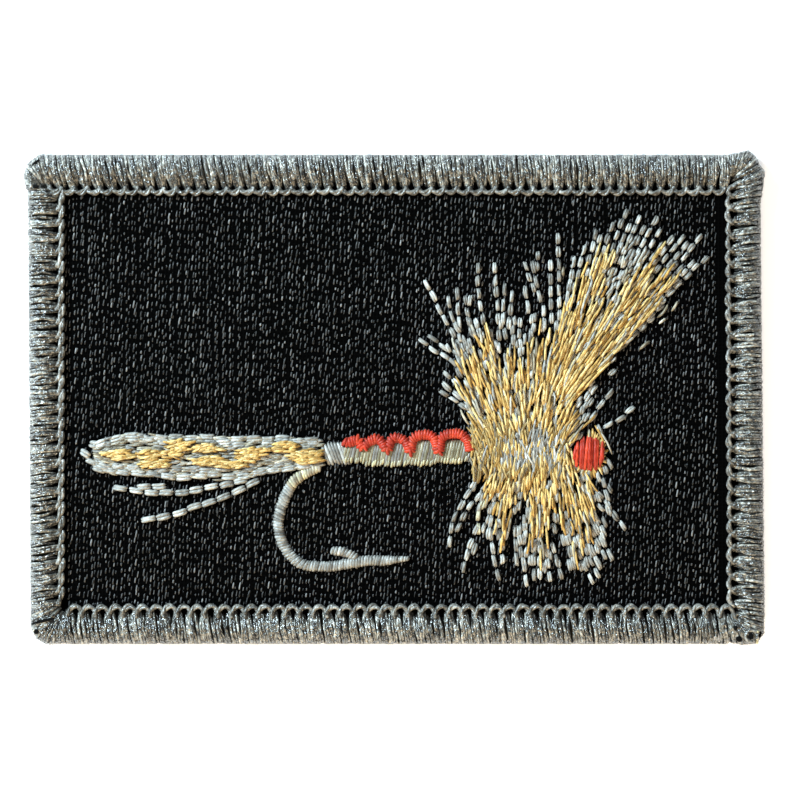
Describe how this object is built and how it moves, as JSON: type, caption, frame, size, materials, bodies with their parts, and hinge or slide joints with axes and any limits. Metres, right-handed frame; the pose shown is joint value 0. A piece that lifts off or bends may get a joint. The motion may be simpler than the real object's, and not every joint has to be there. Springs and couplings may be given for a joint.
{
  "type": "embroidered patch",
  "caption": "Rectangular embroidered twill patch with an overlocked thread border and a stitched dry fly picture, for sewing or ironing onto cloth.",
  "frame": {"origin": "middle of the whole patch's box in plan, on the plane that the border's underside rests on", "axes": "+X towards the right end of the stitched picture (the fly's head), +Y towards the picture's top, +Z out of the stitched face"},
  "size_m": [0.0768, 0.0514, 0.0025],
  "materials": {
    "black_twill": "woven, matte with fine glints",
    "white_backing": "nonwoven, matte",
    "clear_film": "semi-gloss heat-seal film",
    "grey_border_thread": "shiny twisted thread",
    "dun_thread": "shiny embroidery thread",
    "khaki_thread": "satin embroidery thread",
    "ginger_thread": "shiny embroidery thread",
    "red_thread": "satin embroidery thread",
    "white_bobbin_thread": "matte spun thread"
  },
  "bodies": {
    "root": {"twill_ground": "black_twill", "cutaway_backing": "white_backing", "heat_seal_film": "clear_film", "border_roll_top": "grey_border_thread", "border_roll_right": "grey_border_thread", "border_roll_bottom": "grey_border_thread", "border_roll_left": "grey_border_thread", "border_chain_top": "grey_border_thread", "border_chain_right": "grey_border_thread", "border_chain_bottom": "grey_border_thread", "border_chain_left": "grey_border_thread", "hook_bend": "dun_thread", "hook_barb": "dun_thread", "tail_bundle_dun": "dun_thread", "tail_strand_upper": "dun_thread", "tail_strand_lower": "dun_thread", "tail_tie_in_collar": "dun_thread", "hackle_dun_left": "dun_thread", "hackle_dun_upper": "dun_thread", "hackle_dun_lower": "dun_thread", "hackle_strand_lower_left": "dun_thread", "hackle_strand_lower_right": "dun_thread", "hackle_strand_right_high": "dun_thread", "hackle_strand_right_low": "dun_thread", "wing_dun": "dun_thread", "abdomen_segment_1": "khaki_thread", "abdomen_segment_2": "khaki_thread", "abdomen_segment_3": "khaki_thread", "abdomen_segment_4": "khaki_thread", "abdomen_segment_5": "khaki_thread", "rib_red": "red_thread", "head_disc_red": "red_thread", "tail_streak_ginger": "ginger_thread", "wing_spoke_left_ginger": "ginger_thread", "wing_spoke_right_ginger": "ginger_thread", "hackle_ginger_upper": "ginger_thread", "thorax_ginger": "ginger_thread", "hackle_ginger_lower": "ginger_thread", "head_disc_ginger": "ginger_thread", "bobbin_stitching_body": "white_bobbin_thread", "bobbin_stitching_hackle": "white_bobbin_thread"}
  },
  "joints": []
}
